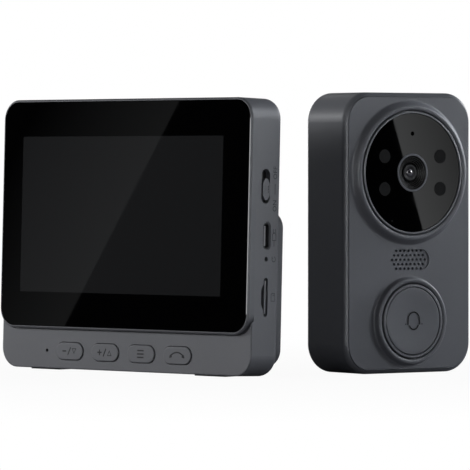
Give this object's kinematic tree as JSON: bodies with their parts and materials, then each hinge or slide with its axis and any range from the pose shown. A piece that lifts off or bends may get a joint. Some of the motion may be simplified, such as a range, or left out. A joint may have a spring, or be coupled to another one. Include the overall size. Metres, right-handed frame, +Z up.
{
  "type": "video doorbell with monitor",
  "caption": "Battery video doorbell on a wall bracket, with a separate indoor monitor that has a screen, front buttons and a folding stand.",
  "frame": {"origin": "middle of the pair's footprint, on the surface that both units stand on", "axes": "+Z up; -Y towards the viewer; +X to the viewer's right, along the pair, with the monitor on the left and the doorbell on the right"},
  "size_m": [0.1626, 0.0928, 0.0956],
  "materials": {
    "monitor_plastic": "fine-grained moulded",
    "bezel_plastic": "fine-grained moulded",
    "screen_glass": "black-backed, polished",
    "screen_layers": "polarised film",
    "tray_metal": "stamped",
    "board": "solder resist",
    "board_metal": "tinned",
    "black_plastic": "moulded",
    "key_plastic": "moulded",
    "rubber": "moulded",
    "foam": "closed cell",
    "battery_film": "foil pouch",
    "screw_steel": "blackened",
    "pin_steel": "ground",
    "port_metal": "drawn",
    "doorbell_plastic": "fine-grained moulded",
    "doorbell_panel": "fine-grained moulded",
    "doorbell_trim": "satin",
    "window_black": "polished",
    "lens": "coated",
    "lamp_resin": "tinted"
  },
  "bodies": {
    "monitor": {"monitor_feet": "rubber", "monitor_housing": "monitor_plastic", "screen_bezel": "bezel_plastic", "screen_glass": "screen_glass", "screen_tape": "foam", "lcd_foam": "foam", "lcd_panel": "screen_layers", "lcd_backlight": "tray_metal", "lcd_carrier": "tray_metal", "main_board": "board", "board_parts": "board_metal", "small_screws": "screw_steel", "key_switches": "black_plastic", "monitor_microphone": "board_metal", "power_switch_body": "black_plastic", "usb_port": "port_metal", "reset_key": "black_plastic", "card_socket": "port_metal", "back_cover": "monitor_plastic", "back_cover_screws": "screw_steel", "stand_pin": "pin_steel", "monitor_battery": "battery_film", "battery_pad": "foam", "monitor_speaker": "black_plastic", "wifi_antenna": "black_plastic"},
    "power_knob": {"power_switch_knob": "key_plastic"},
    "card": {"memory_card": "black_plastic"},
    "stand": {"stand_leg": "monitor_plastic"},
    "volume_down_key": {"volume_down_button": "key_plastic"},
    "volume_up_key": {"volume_up_button": "key_plastic"},
    "menu_key": {"menu_button": "key_plastic"},
    "talk_key": {"talk_button": "key_plastic"},
    "bracket": {"wall_bracket": "doorbell_plastic"},
    "bell_unit": {"bell_case": "doorbell_plastic", "bell_front_panel": "doorbell_panel", "case_gasket": "rubber", "camera_trim_ring": "doorbell_trim", "camera_window": "window_black", "lens_ring": "doorbell_trim", "lens_glass": "lens", "lens_barrel": "black_plastic", "lens_holder": "black_plastic", "image_sensor": "board_metal", "infrared_lamps": "lamp_resin", "camera_board": "board", "light_sensor": "black_plastic", "bell_microphone": "rubber", "bell_speaker": "black_plastic", "grille_mesh": "foam", "bell_button_ring": "doorbell_trim", "bell_switch": "black_plastic", "bell_board": "board", "charge_port": "port_metal", "bell_main_board": "board", "bell_board_parts": "board_metal", "bell_battery": "battery_film", "battery_foam": "foam", "bell_screws": "screw_steel"},
    "bell_key": {"bell_button_cap": "doorbell_panel"},
    "plug": {"port_plug": "rubber"}
  },
  "joints": [
    {"name": "volume_down_press", "type": "slide", "parent": "monitor", "child": "volume_down_key", "axis": [0.6765, 0.7357, -0.0314], "range_m": [0, 0.0004], "stiffness_N_per_m": 400, "springref_m": -0.0005},
    {"name": "volume_up_press", "type": "slide", "parent": "monitor", "child": "volume_up_key", "axis": [0.6765, 0.7357, -0.0314], "range_m": [0, 0.0004], "stiffness_N_per_m": 400, "springref_m": -0.0005},
    {"name": "menu_press", "type": "slide", "parent": "monitor", "child": "menu_key", "axis": [0.6765, 0.7357, -0.0314], "range_m": [0, 0.0004], "stiffness_N_per_m": 400, "springref_m": -0.0005},
    {"name": "talk_press", "type": "slide", "parent": "monitor", "child": "talk_key", "axis": [0.6765, 0.7357, -0.0314], "range_m": [0, 0.0004], "stiffness_N_per_m": 400, "springref_m": -0.0005},
    {"name": "power_slide", "type": "slide", "parent": "monitor", "child": "power_knob", "axis": [0.0213, 0.0231, 0.9995], "range_m": [0, 0.002]},
    {"name": "card_slide", "type": "slide", "parent": "monitor", "child": "card", "axis": [0.7361, -0.6769, 0], "range_m": [0, 0.012]},
    {"name": "stand_fold", "type": "hinge", "parent": "monitor", "child": "stand", "pos_m": [-0.02457, 0.00808, 0.04227], "axis": [0.7361, -0.6769, 0], "range_deg": [0, 60]},
    {"name": "bracket_lift", "type": "slide", "parent": "monitor", "child": "bracket", "axis": [0, 0, 1], "range_m": [0, 0.11]},
    {"name": "bell_lift_off", "type": "slide", "parent": "bracket", "child": "bell_unit", "axis": [0, 0, 1], "range_m": [0, 0.006]},
    {"name": "bell_press", "type": "slide", "parent": "bell_unit", "child": "bell_key", "axis": [-0.5764, 0.8171, 0], "range_m": [0, 0.001], "stiffness_N_per_m": 500, "springref_m": -0.0006},
    {"name": "plug_pull", "type": "slide", "parent": "bell_unit", "child": "plug", "axis": [0.8171, 0.5764, 0], "range_m": [0, 0.005]}
  ]
}
